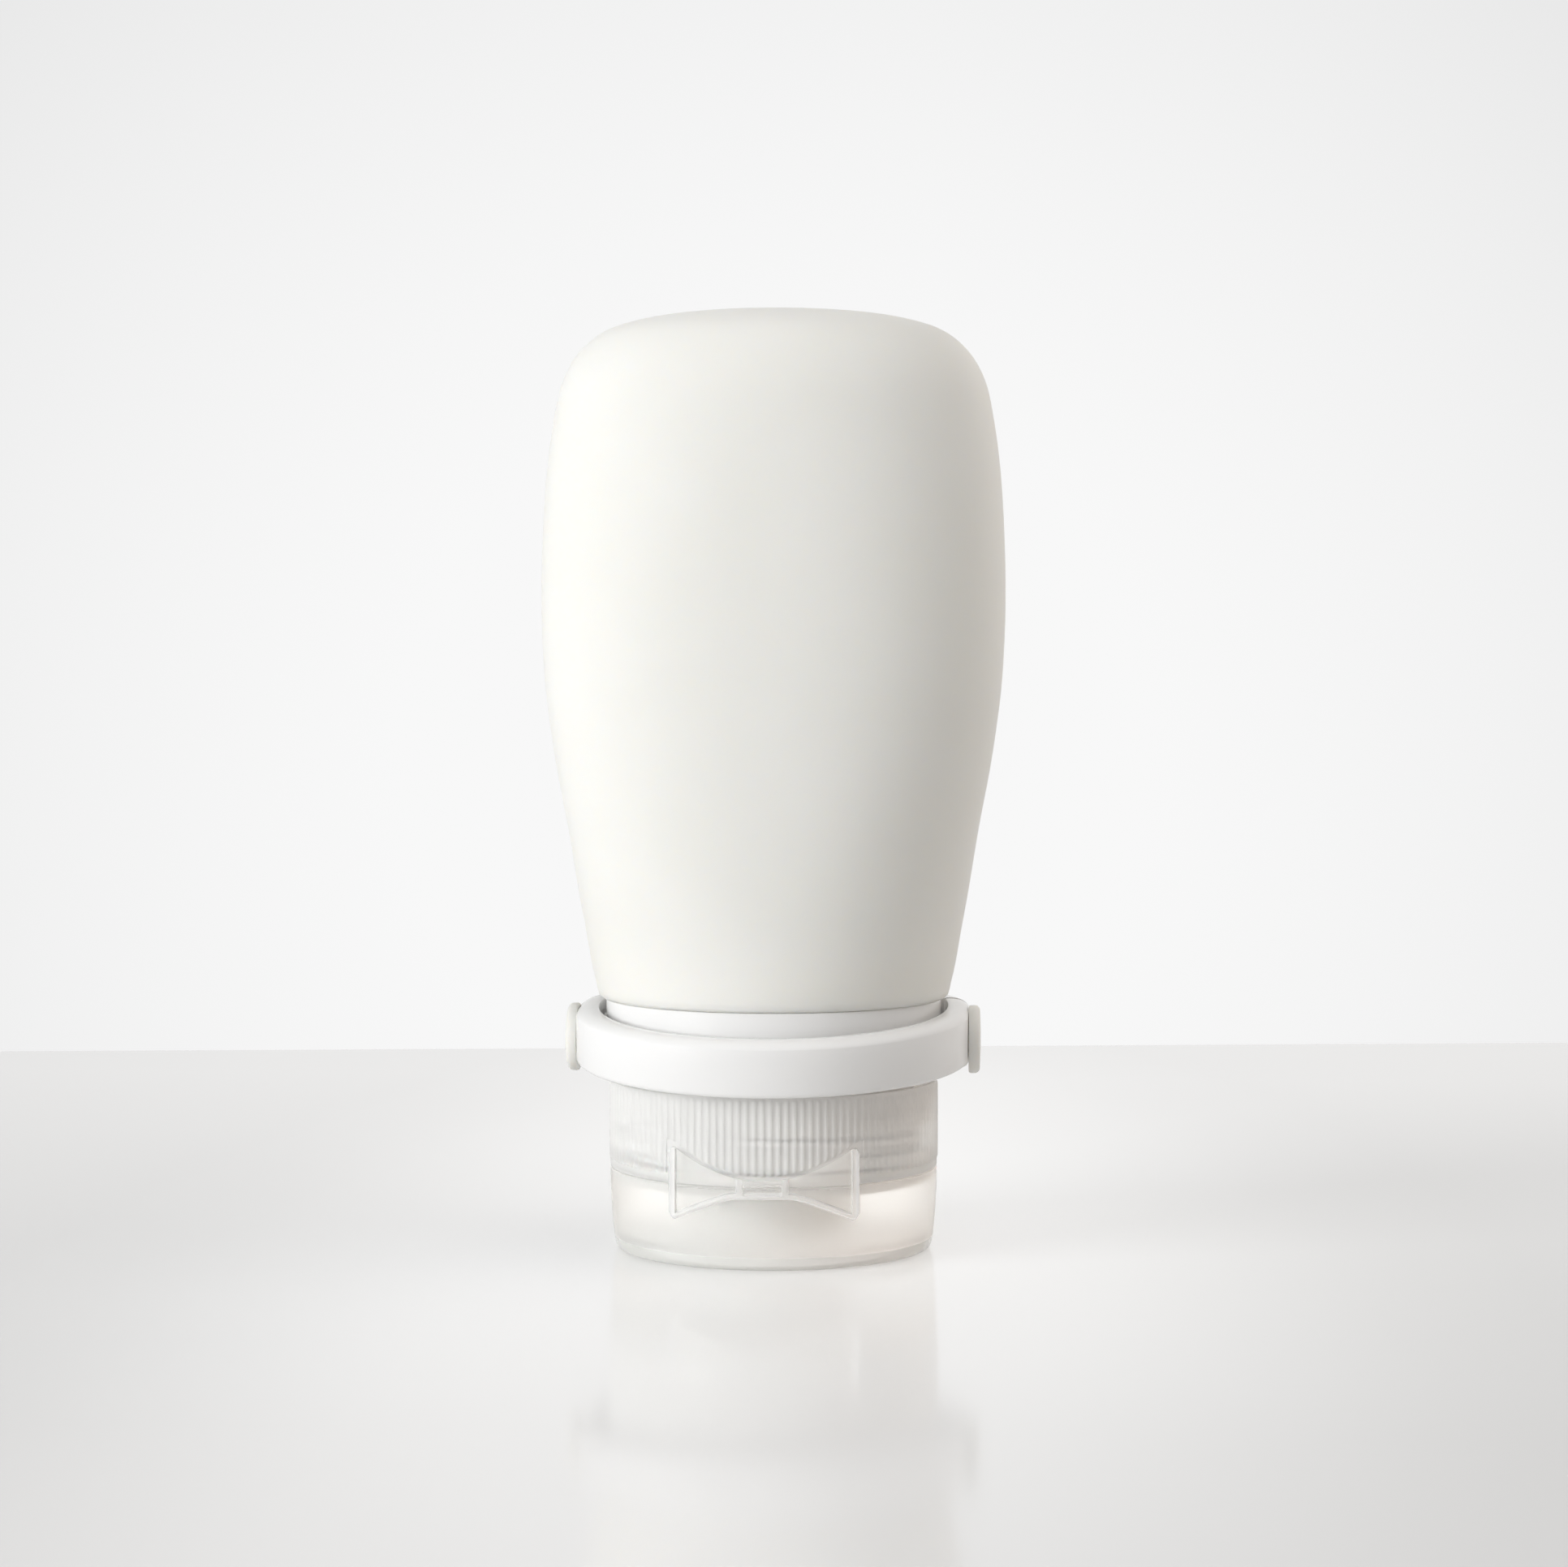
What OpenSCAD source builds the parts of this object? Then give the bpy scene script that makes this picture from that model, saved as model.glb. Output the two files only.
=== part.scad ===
// Squeeze bottle of soft silicone, standing upside down on its flip lid.
// Millimetres, z up, lid face at z = 0, thumb tab towards -Y, lid hinge at +Y.

/* [Soft body] */
// Widest side-to-side size of the soft body
body_width = 53.8; // [50:0.2:58]
// Largest front-to-back size of the soft body
body_depth = 39.6; // [38:0.2:46]
// Height of the crown above the lid face
body_top = 109.1; // [95:0.5:125]
// Wall of the soft body
body_wall = 1.9; // [1.4:0.1:2.6]
// Points round each section of the soft body
body_points = 64; // [48:8:72]

/* [Neck] */
// Radius of the neck mouth
neck_bore = 12.2; // [11:0.1:12.6]
// Wall of the stiff sleeve in the neck
insert_wall = 1.05; // [0.9:0.05:1.3]
// Wall of the soft neck
neck_wall = 1.55; // [1.3:0.05:1.8]
// Wall of the threaded spigot
spigot_wall = 1.5; // [1.2:0.05:1.8]
// Space for the thread between spigot and cap
thread_space = 1.2; // [1.0:0.05:1.5]

/* [Collar and loop] */
// Wall of the collar that holds the shoulder
collar_wall = 1.7; // [1.4:0.05:2.0]
// Height of the collar
collar_height = 9.2; // [8.8:0.1:10]
// Gap between the collar and the band round it
band_gap = 0.8; // [0.7:0.05:1.2]
// Thickness of the band
band_wall = 2.75; // [2.5:0.05:3.0]
// Height of the swinging half band
loop_height = 6.4; // [5.6:0.1:6.8]
// Angle by which the half band hangs down at rest
loop_droop = 5; // [4:0.5:6]
// Diameter of the pivot buttons
button_diameter = 7.9; // [7:0.1:8.4]
// Diameter of the pivot pins
pin_diameter = 3.6; // [3:0.1:4]
// Wall of the half band's eye round each pin
eye_wall = 1.0; // [0.8:0.05:1.1]

/* [Cap] */
// Wall of the cap skirt
skirt_wall = 1.45; // [1.2:0.05:1.8]
// Number of grip ribs round the cap
rib_count = 132; // [96:4:160]
// Height of the grip ribs
rib_rise = 0.22; // [0.1:0.02:0.3]
// Height of the cap skirt above the parting line
skirt_height = 10.1; // [10:0.1:12]
// Outer radius of the nozzle
nozzle_radius = 7.7; // [7.5:0.1:8.4]
// Radius of the spout opening
spout_radius = 4.4; // [4.2:0.1:4.8]
// Length of each slit in the valve
slit_length = 5.2; // [3:0.1:6]
// Thickness of the valve's clamped rim
valve_rim = 1.1; // [0.9:0.05:1.3]
// Height by which the valve's middle bulges inwards
valve_dome = 0.65; // [0.5:0.05:0.8]
// Depth of the valve seat above the nozzle's face
seat_depth = 2; // [1.8:0.1:2.2]
// Free height between the lid plate and the nozzle
spout_gap = 0.35; // [0.3:0.05:0.5]

/* [Flip lid] */
// Height of the parting line above the lid face
lid_height = 9.5; // [9.4:0.1:11]
// Wall of the lid
lid_wall = 1.1; // [1.0:0.05:1.4]
// Thickness of the lid face
lid_plate = 1.4; // [1.2:0.1:1.6]
// Half width of the thumb tab
tab_half_width = 10.75; // [9:0.05:12]
// Height of the thumb tab at its ends
tab_end_height = 8.0; // [7:0.1:8.6]
// Height of the thumb tab at its knot
tab_knot_height = 2.1; // [1.8:0.1:2.6]
// Thickness of the thumb tab
tab_thickness = 1.15; // [1.0:0.05:1.4]
// Width of the film hinge
hinge_width = 9; // [6:0.5:12]

/* [Hidden] */
$fn = 96;
EPS = 0.02;
FIT = 0.05;
GAP = 0.3;

insert_r = neck_bore + insert_wall;
neck_in = insert_r + FIT;
neck_r = neck_in + neck_wall;
spigot_in = neck_r + FIT;
spigot_r = spigot_in + spigot_wall;
cap_bore = spigot_r + thread_space;
cap_r = cap_bore + skirt_wall;
rib_r = cap_r + rib_rise;
collar_r = cap_r + 0.45;
collar_in = collar_r - collar_wall;
band_in = collar_r + band_gap;
band_r = band_in + band_wall;
shoulder_r = collar_in - FIT;

deck_z = lid_height + 0.2;
skirt_z = lid_height + GAP / 2;
rim_z = lid_height - GAP / 2;
step_z = lid_height - 1.3;
skirt_top = lid_height + skirt_height;
gasket_z = deck_z + 0.15;
gasket_top = gasket_z + 0.7;
insert_z = gasket_top + 0.25;
insert_flange = 0.65;
lip_z = insert_z + insert_flange + FIT;
lip_height = 0.65;
spigot_z = lip_z + lip_height + FIT;
collar_z = skirt_top + 0.4;
web_top = collar_z + 1.8;
collar_top = collar_z + collar_height;
pivot_z = collar_z + 4.35;
body_z = collar_top + FIT;
insert_top = body_z - 1;
body_height = body_top - body_z;

button_thickness = 1.35;
ear_flat = band_r - 0.35;
ear_r = button_diameter / 2;
pin_r = pin_diameter / 2;
eye_r = pin_r + eye_wall;
boss_x = collar_r + 0.28;

lid_r = cap_r;
lid_in = lid_r - lid_wall;
step_r = lid_in - GAP;
nozzle_z = lid_plate + spout_gap;
seat_z = nozzle_z + seat_depth;
valve_r = nozzle_radius - 1.2;
hinge_y = cap_r + 0.25;
tab_r = cap_r + 0.35 + tab_thickness;

// Heights, side and front half sizes of the soft body as fractions of its full sizes
STATIONS = [
    [0.000, 0.736, 0.975], [0.004, 0.755, 0.990], [0.014, 0.764, 0.994], [0.032, 0.776, 0.996],
    [0.090, 0.808, 0.998], [0.150, 0.840, 1.000], [0.210, 0.869, 1.000], [0.269, 0.899, 1.000],
    [0.329, 0.933, 0.997], [0.388, 0.960, 0.992], [0.447, 0.982, 0.984], [0.506, 0.994, 0.973],
    [0.565, 1.000, 0.960], [0.624, 0.999, 0.944], [0.683, 0.993, 0.925], [0.742, 0.983, 0.902],
    [0.801, 0.965, 0.873], [0.860, 0.937, 0.838], [0.884, 0.921, 0.816], [0.907, 0.895, 0.783],
    [0.929, 0.857, 0.738], [0.952, 0.794, 0.669], [0.968, 0.723, 0.597], [0.977, 0.653, 0.531],
    [0.988, 0.514, 0.409], [0.995, 0.350, 0.274], [0.9985, 0.200, 0.155], [1.000, 0.070, 0.054]
];

function station(i) = [
    STATIONS[i][1] * body_width / 2,
    STATIONS[i][2] * body_depth / 2,
    body_z + STATIONS[i][0] * body_height,
    2 + 0.35 * sin(180 * min(1, STATIONS[i][0]))
];

// Inward offset of a station along the normal of the side profile
function slope(i) = let(p = station(max(0, i - 1)), q = station(min(len(STATIONS) - 1, i + 1)))
    atan2(q[2] - p[2], q[0] - p[0]);
function inner(i) = let(s = station(i), t = slope(i)) [
    max(0.6, s[0] - body_wall * sin(t)),
    max(0.5, s[1] - body_wall * sin(t)),
    s[2] + body_wall * cos(t),
    s[3]
];

function power(v, n) = sign(v) * pow(abs(v), 2 / n);
function section(s) = [for (k = [0:body_points - 1]) let(a = 360 * k / body_points)
    [s[0] * power(cos(a), s[3]), s[1] * power(sin(a), s[3]), s[2]]];

last = len(STATIONS) - 1;
first_inner = 5;
BODY_RINGS = concat(
    [for (i = [last:-1:0]) station(i)],
    [[shoulder_r + 1.2, shoulder_r + 1.0, body_z, 2]],
    [[shoulder_r, shoulder_r, body_z, 2]],
    [[shoulder_r, shoulder_r, web_top + FIT, 2]],
    [[neck_r, neck_r, web_top + FIT, 2]],
    [[neck_r, neck_r, lip_z + lip_height, 2]],
    [[spigot_r - 0.2, spigot_r - 0.2, lip_z + lip_height, 2]],
    [[spigot_r - 0.2, spigot_r - 0.2, lip_z, 2]],
    [[neck_in, neck_in, lip_z, 2]],
    [[neck_in, neck_in, insert_top + 0.4, 2]],
    [[neck_in + 1.3, neck_in + 1.3, body_z + 1.2, 2]],
    [[neck_in + 3.6, neck_in + 3.3, body_z + 2.9, 2]],
    [[neck_in + 5.4, neck_in + 4.5, body_z + 5.4, 2.1]],
    [for (i = [first_inner:last]) inner(i)]
);

module loft(rings) {
    m = body_points;
    n = len(rings);
    points = [for (r = rings) each section(r)];
    sides = [for (j = [0:n - 2], k = [0:m - 1]) let(q = (k + 1) % m) each [
        [j * m + k, j * m + q, (j + 1) * m + q],
        [j * m + k, (j + 1) * m + q, (j + 1) * m + k]
    ]];
    top = [[for (k = [m - 1:-1:0]) k]];
    end = [[for (k = [0:m - 1]) (n - 1) * m + k]];
    polyhedron(points = points, faces = concat(sides, top, end), convexity = 8);
}

// Plain turned ring between two radii and two heights
module ring(r_in, r_out, z_low, z_high) {
    rotate_extrude()
        polygon([[r_in, z_low], [r_out, z_low], [r_out, z_high], [r_in, z_high]]);
}

module side_rod(r, x_from, x_to, z) {
    translate([x_from, 0, z])
        rotate([0, 90, 0])
            cylinder(r = r, h = x_to - x_from);
}

module both_sides() {
    children();
    mirror([1, 0, 0])
        children();
}

module squeeze_body() {
    color([0.93, 0.91, 0.87])
        loft(BODY_RINGS);
}

module neck_insert() {
    color([0.9, 0.9, 0.9])
        rotate_extrude()
            polygon([
                [neck_bore, insert_z],
                [spigot_r - 0.2, insert_z],
                [spigot_r - 0.2, insert_z + insert_flange],
                [insert_r, insert_z + insert_flange],
                [insert_r, insert_top],
                [insert_r - 0.5, insert_top + 0.3],
                [neck_bore, insert_top + 0.3]
            ]);
}

// Cross-section of the band: small lower edge, top that rounds off outwards
module band_profile(z_low, z_high) {
    polygon([
        [band_in, z_low],
        [band_r - 0.55, z_low],
        [band_r - 0.16, z_low + 0.16],
        [band_r, z_low + 0.55],
        [band_r, z_high - 0.95],
        [band_r - 0.3, z_high - 0.42],
        [band_r - 0.9, z_high - 0.12],
        [band_r - 1.7, z_high],
        [band_in, z_high]
    ]);
}

loop_mid = 0.85;
loop_tail = 3.8;
band_low = pivot_z - ear_r + 0.2;
band_high = pivot_z + loop_mid + loop_height / 2 + 0.35;
ear_end = loop_tail + 0.6;

module neck_collar() {
    color([0.96, 0.96, 0.95])
        difference() {
            union() {
                rotate_extrude()
                    polygon([
                        [spigot_in, spigot_z],
                        [spigot_r - 0.3, spigot_z],
                        [spigot_r, spigot_z + 0.3],
                        [spigot_r, collar_z],
                        [collar_r - 0.3, collar_z],
                        [collar_r, collar_z + 0.3],
                        [collar_r, collar_top],
                        [collar_in, collar_top],
                        [collar_in, web_top],
                        [spigot_in, web_top]
                    ]);
                back_band();
                both_sides()
                    side_rod(eye_r, collar_in + 0.6, boss_x, pivot_z);
            }
            both_sides()
                side_rod(pin_r, collar_in + 0.4, band_r, pivot_z);
        }
}

// Fixed back half of the band, tied to the collar by a web
module back_band() {
    intersection() {
        union() {
            rotate_extrude()
                band_profile(band_low, band_high);
            ring(collar_r - 0.4, band_in + 0.4, pivot_z - 1, pivot_z + 1);
        }
        translate([-band_r - 1, ear_end, band_low - 1])
            cube([2 * band_r + 2, band_r + 1, band_high - band_low + 2]);
    }
}

// Half ring in front, whose two tails run on behind the pivots
module swing_loop() {
    color([0.96, 0.96, 0.95])
        translate([0, 0, pivot_z])
            rotate([loop_droop, 0, 0])
                difference() {
                    union() {
                        intersection() {
                            rotate_extrude()
                                band_profile(loop_mid - loop_height / 2, loop_mid + loop_height / 2);
                            translate([-ear_flat, -band_r - 1, -ear_r - 2])
                                cube([2 * ear_flat, band_r + 1 + loop_tail, 2 * ear_r + 4]);
                        }
                        both_sides()
                            side_rod(eye_r, band_in, ear_flat, 0);
                    }
                    both_sides()
                        side_rod(pin_r + FIT, band_in - 1, ear_flat + 1, 0);
                }
}

// Round-edged button with the pivot pin behind it
module pivot_button() {
    translate([0, 0, pivot_z])
        rotate([0, 90, 0])
            rotate_extrude()
                polygon([
                    [0, collar_in + 0.4 + FIT],
                    [pin_r - 0.01, collar_in + 0.4 + FIT],
                    [pin_r - 0.01, ear_flat + 0.1],
                    [ear_r - 0.25, ear_flat + 0.1],
                    [ear_r, ear_flat + 0.35],
                    [ear_r, ear_flat + 0.75],
                    [ear_r - 0.2, ear_flat + 1.1],
                    [ear_r - 0.6, ear_flat + button_thickness],
                    [0, ear_flat + button_thickness + 0.1]
                ]);
}

module pivot_button_left() {
    color([0.93, 0.91, 0.87])
        mirror([1, 0, 0])
            pivot_button();
}

module pivot_button_right() {
    color([0.93, 0.91, 0.87])
        pivot_button();
}

function rib_point(r, i, f) = let(a = 360 * (i + f) / rib_count) [r * cos(a), r * sin(a)];
RIB_OUTLINE = [for (i = [0:rib_count - 1]) each [
    rib_point(cap_r, i, -0.5),
    rib_point(cap_r, i, -0.3),
    rib_point(rib_r, i, -0.12),
    rib_point(rib_r, i, 0.12),
    rib_point(cap_r, i, 0.3)
]];

// Edges of the thumb tab seen from the front, grown outwards by a clearance
tab_flat = 3.2;
function tab_upper(x, grow) = lid_height + tab_knot_height / 2 - 0.1 + grow
    + (tab_end_height - tab_knot_height) / 2 * pow(min(1.06, x / (tab_half_width - 0.85)), 2) * 1.12;
function tab_lower(x, grow) = lid_height - tab_knot_height / 2 - 0.05 - grow
    - (tab_end_height - tab_knot_height) / 2 * 0.85
    * pow(max(0, (x - tab_flat) / (tab_half_width - 1 - tab_flat)), 1.25);

function tab_half(grow) = let(w = tab_half_width + grow) concat(
    [for (k = [0:8]) let(x = k * (w - 0.85) / 8) [x, tab_upper(x, grow)]],
    [[w - 0.35, tab_upper(w - 0.85, grow) - 0.9]],
    [[w, lid_height]],
    [[w - 0.2, tab_lower(w - 0.2, grow) + 0.5]],
    [[w - 0.6, tab_lower(w - 0.6, grow)]],
    [for (k = [6:-1:0]) let(x = tab_flat + k * (w - 1.2 - tab_flat) / 6) [x, tab_lower(x, grow)]]
);
function flipped(half) = [for (i = [len(half) - 1:-1:1]) [-half[i][0], half[i][1]]];

module tab_prism(grow) {
    half = tab_half(grow);
    translate([0, -cap_r + 8, 0])
        rotate([90, 0, 0])
            linear_extrude(height = 12)
                polygon(concat(half, flipped(half)));
}

// Scooped side field of the thumb tab, open at the upper edge
module tab_scoop() {
    x_in = tab_flat - 0.5;
    x_out = tab_half_width - 0.95;
    translate([0, -cap_r + 8, 0])
        rotate([90, 0, 0])
            linear_extrude(height = 12)
                polygon(concat(
                    [for (k = [0:6]) let(x = x_in + k * (x_out - x_in) / 6)
                        [x, tab_lower(x + 0.3, 0) + 0.75]],
                    [[x_out, tab_upper(x_out, 0) + 1]],
                    [[x_in, tab_upper(x_in, 0) + 1]]
                ));
}

module cap_base() {
    color([0.85, 0.87, 0.88])
        difference() {
            union() {
                difference() {
                    translate([0, 0, skirt_z + 0.9])
                        linear_extrude(height = skirt_top - skirt_z - 0.9)
                            polygon(RIB_OUTLINE);
                    intersection() {
                        ring(cap_r - 0.02, cap_r + 2, skirt_z, skirt_top);
                        tab_prism(GAP + 0.05);
                    }
                    ring(cap_r - 0.1, cap_r + 2, skirt_top - 0.35, skirt_top + 1);
                }
                rotate_extrude()
                    polygon([
                        [0, step_z],
                        [step_r - 0.2, step_z],
                        [step_r, step_z + 0.2],
                        [step_r, skirt_z],
                        [cap_r - 0.05, skirt_z],
                        [cap_r - 0.05, skirt_top - 0.4],
                        [cap_r - 0.4, skirt_top],
                        [cap_r - 1, skirt_top],
                        [cap_r - 1, skirt_z + 0.5],
                        [0, skirt_z + 0.5]
                    ]);
                nozzle();
            }
            ring(neck_bore - 0.4, cap_bore, deck_z, skirt_top + 1);
            translate([0, 0, deck_z + 3])
                cylinder(r = cap_bore, h = skirt_height);
            ring(neck_bore - 1.4, cap_bore, deck_z + 2.9, skirt_top + 1);
            translate([0, 0, deck_z])
                cylinder(r = neck_bore - 1.4, h = 4);
            translate([0, 0, seat_z])
                cylinder(r = valve_r, h = skirt_height);
            translate([0, 0, nozzle_z - 1])
                cylinder(r1 = spout_radius + 0.9, r2 = spout_radius, h = seat_z - nozzle_z + 1 + EPS);
        }
}

// Nozzle under the deck and the centring ring above it
module nozzle() {
    rotate_extrude()
        polygon([
            [0, nozzle_z],
            [nozzle_radius - 1.2, nozzle_z],
            [nozzle_radius - 0.6, nozzle_z + 0.4],
            [nozzle_radius - 0.1, nozzle_z + 1.2],
            [nozzle_radius, nozzle_z + 2],
            [nozzle_radius, step_z + 0.1],
            [0, step_z + 0.1]
        ]);
    ring(neck_bore - 1.4, neck_bore - 0.4, deck_z - 0.5, deck_z + 2.9);
}

module cap_gasket() {
    color([0.9, 0.89, 0.86])
        ring(neck_bore - 0.1, cap_bore - 0.4, gasket_z, gasket_top);
}

module drip_valve() {
    color([0.93, 0.91, 0.87])
        difference() {
            rotate_extrude()
                polygon([
                    [0, seat_z + valve_rim - 0.1],
                    [spout_radius - 1.2, seat_z + valve_rim * 0.7],
                    [spout_radius - 0.4, seat_z + valve_rim * 0.27],
                    [spout_radius - 0.2, seat_z + FIT / 2],
                    [valve_r - FIT, seat_z + FIT / 2],
                    [valve_r - FIT, seat_z + valve_rim],
                    [spout_radius + 0.2, seat_z + valve_rim],
                    [spout_radius - 0.6, seat_z + valve_rim + valve_dome * 0.46],
                    [0, seat_z + valve_rim + valve_dome]
                ]);
            translate([-slit_length / 2, -FIT, seat_z])
                cube([slit_length, 2 * FIT, 2 * (valve_rim + valve_dome)]);
            translate([-FIT, -slit_length / 2, seat_z])
                cube([2 * FIT, slit_length, 2 * (valve_rim + valve_dome)]);
        }
}

module valve_retainer() {
    color([0.9, 0.9, 0.9])
        rotate_extrude()
            polygon([
                [spout_radius + 0.5, seat_z + valve_rim + FIT / 2],
                [valve_r - FIT, seat_z + valve_rim + FIT / 2],
                [valve_r - FIT, deck_z - 0.3],
                [valve_r - 0.75, deck_z - 0.3],
                [spout_radius + 0.5, deck_z - 1.1]
            ]);
}

module flip_lid() {
    color([0.85, 0.87, 0.88])
        union() {
            rotate_extrude()
                polygon([
                    [0, 0],
                    [lid_r - 2.0, 0],
                    [lid_r - 1.35, 0.12],
                    [lid_r - 0.85, 0.42],
                    [lid_r - 0.55, 0.85],
                    [lid_r - 0.42, 1.5],
                    [lid_r - 0.2, 4],
                    [lid_r, lid_height * 0.8],
                    [lid_r, rim_z],
                    [lid_in, rim_z],
                    [lid_in, lid_height * 0.8],
                    [lid_in - 0.3, 3],
                    [lid_in - 0.6, lid_plate + 0.7],
                    [lid_in - 1.4, lid_plate],
                    [0, lid_plate]
                ]);
            ring(spout_radius - 1.4, spout_radius - 0.4, lid_plate - 0.2, nozzle_z + 0.5);
            rotate_extrude()
                polygon([
                    [spout_radius - 1.4, nozzle_z + 0.4],
                    [spout_radius - 0.4, nozzle_z + 0.4],
                    [spout_radius - 0.6, nozzle_z + 0.9],
                    [spout_radius - 1.4, nozzle_z + 0.9]
                ]);
            thumb_tab();
        }
}

module thumb_tab() {
    difference() {
        union() {
            intersection() {
                ring(lid_r - 0.7, tab_r, lid_plate, rim_z);
                tab_prism(0);
            }
            intersection() {
                ring(tab_r - tab_thickness, tab_r, rim_z - 0.05, lid_height + tab_end_height);
                tab_prism(0);
            }
        }
        intersection() {
            ring(tab_r - 0.5, tab_r + 1, lid_plate, lid_height + tab_end_height + 1);
            both_sides()
                tab_scoop();
        }
        intersection() {
            ring(tab_r - 0.4, tab_r + 1, lid_plate, lid_height + tab_end_height);
            translate([-tab_flat + 0.9, -tab_r - 1, lid_height - tab_knot_height / 2 + 0.4])
                cube([2 * tab_flat - 1.8, 3, tab_knot_height - 0.85]);
        }
    }
}

module hinge_film() {
    span = hinge_width / cap_r * 90 / PI;
    color([0.85, 0.87, 0.88])
        rotate([0, 0, 90 - span])
            rotate_extrude(angle = 2 * span)
                polygon([
                    [cap_r + 0.03, step_z + 0.25],
                    [cap_r + 0.35, step_z + 0.35],
                    [cap_r + 0.2, lid_height - 0.15],
                    [cap_r + 0.2, lid_height + 0.15],
                    [cap_r + 0.35, skirt_z + 0.7],
                    [cap_r + 0.03, skirt_z + 0.8]
                ]);
}

squeeze_body();
neck_insert();
neck_collar();
swing_loop();
pivot_button_left();
pivot_button_right();
cap_base();
cap_gasket();
drip_valve();
valve_retainer();
flip_lid();
hinge_film();
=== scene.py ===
import math

import bpy
import numpy as np
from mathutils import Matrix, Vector


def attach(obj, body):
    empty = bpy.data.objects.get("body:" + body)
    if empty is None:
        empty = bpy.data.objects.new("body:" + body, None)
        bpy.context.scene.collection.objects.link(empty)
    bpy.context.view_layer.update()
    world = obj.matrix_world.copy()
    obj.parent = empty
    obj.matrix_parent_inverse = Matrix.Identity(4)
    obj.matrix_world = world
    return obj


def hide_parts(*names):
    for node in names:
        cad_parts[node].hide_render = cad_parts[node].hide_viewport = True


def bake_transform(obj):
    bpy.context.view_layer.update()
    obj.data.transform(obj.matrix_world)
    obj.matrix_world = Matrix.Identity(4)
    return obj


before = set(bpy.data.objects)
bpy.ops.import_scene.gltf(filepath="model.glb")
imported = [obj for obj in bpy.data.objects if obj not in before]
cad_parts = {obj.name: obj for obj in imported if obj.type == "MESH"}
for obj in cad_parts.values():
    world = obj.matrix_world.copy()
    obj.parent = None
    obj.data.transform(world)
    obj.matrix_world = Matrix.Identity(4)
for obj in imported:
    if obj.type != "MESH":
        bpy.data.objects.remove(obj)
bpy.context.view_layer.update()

MM = 0.001
TAU = 2 * math.pi

# Sizes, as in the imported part, in mm

# Soft body with its neck
BODY_W = 53.8
BODY_D = 39.6
BODY_Z = 29.25
BODY_TOP = 109.1
WALL = 1.9
SHOULDER_R = 17.75
NECK_R = 14.85
NECK_IN = 13.3
LIP_Z = 11.5

# Collar with its spigot; WEB_TOP is the floor of the cup that holds the body's shoulder
SPIGOT_IN = 14.9
SPIGOT_R = 16.4
SPIGOT_Z = 12.2
COLLAR_IN = 17.8
COLLAR_R = 19.5
COLLAR_Z = 20.0
COLLAR_TOP = 29.2
WEB_TOP = 21.8

# Band: the fixed back half ends at EAR_END along Y, and the half ring runs to LOOP_TAIL behind its pivots
BAND_IN = 20.3
BAND_R = 23.05
BAND_LOW = 20.6
BAND_HIGH = 28.75
EAR_END = 4.4
LOOP_LOW = -2.35
LOOP_HIGH = 4.05
LOOP_TAIL = 3.8
DROOP = math.radians(5)

# Pivots on both sides, measured along X
PIVOT_Z = 24.35
PIN_R = 1.8
EYE_R = 2.8
EAR_R = 3.95
EAR_FLAT = 22.7
BOSS_START = 18.4
BOSS_X = 19.78

# Cap base with its nozzle
CAP_BORE = 17.6
CAP_R = 19.05
RIB_R = 19.27
RIBS = 132
PITCH = 4.2
SKIRT_Z = 9.65
SKIRT_TOP = 19.6
DECK_Z = 9.7
CENTRING_R = 11.8
STEP_R = 17.65
STEP_Z = 8.2
NOZZLE_R = 7.7
NOZZLE_Z = 1.75
SEAT_Z = 3.75
VALVE_R = 6.5
SPOUT_R = 4.4

# Lid and thumb tab; TAB_W and TAB_FLAT are half widths, TAB_END and TAB_KNOT heights
PARTING_Z = 9.5
RIM_Z = 9.35
LID_IN = 17.95
LID_PLATE = 1.4
TAB_R = 20.55
TAB_W = 10.75
TAB_END = 8.0
TAB_KNOT = 2.1
TAB_FLAT = 3.2
TAB_CORNER = 0.9
SIDE_ROLL = 0.95
LOW_ROLL = 0.85

# Stations of the soft body: height, side and front half sizes as fractions of its full sizes
STATIONS = np.array([
    [0.000, 0.736, 0.975], [0.004, 0.755, 0.990], [0.014, 0.764, 0.994], [0.032, 0.776, 0.996],
    [0.090, 0.808, 0.998], [0.150, 0.840, 1.000], [0.210, 0.869, 1.000], [0.269, 0.899, 1.000],
    [0.329, 0.933, 0.997], [0.388, 0.960, 0.992], [0.447, 0.982, 0.984], [0.506, 0.994, 0.973],
    [0.565, 1.000, 0.960], [0.624, 0.999, 0.944], [0.683, 0.993, 0.925], [0.742, 0.983, 0.902],
    [0.801, 0.965, 0.873], [0.860, 0.937, 0.838], [0.884, 0.921, 0.816], [0.907, 0.895, 0.783],
    [0.929, 0.857, 0.738], [0.952, 0.794, 0.669], [0.968, 0.723, 0.597], [0.977, 0.653, 0.531],
    [0.988, 0.514, 0.409], [0.995, 0.350, 0.274], [0.9985, 0.200, 0.155], [1.000, 0.000, 0.000]])
ARC_H, ARC_W = 80, 27  # rough height and half width, to space the rings evenly along the outline


# Mesh helpers; a shell is a pair of points in mm and faces
def make(name, verts, faces, sharp=40.0):
    me = bpy.data.meshes.new(name)
    points = [tuple(v) for v in np.asarray(verts, float) * MM]
    me.from_pydata(points, [], [tuple(int(i) for i in f) for f in faces])
    me.validate()
    me.polygons.foreach_set("use_smooth", [True] * len(me.polygons))
    me.set_sharp_from_angle(angle=math.radians(sharp))
    ob = bpy.data.objects.new(name, me)
    bpy.context.scene.collection.objects.link(ob)
    return ob


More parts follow.
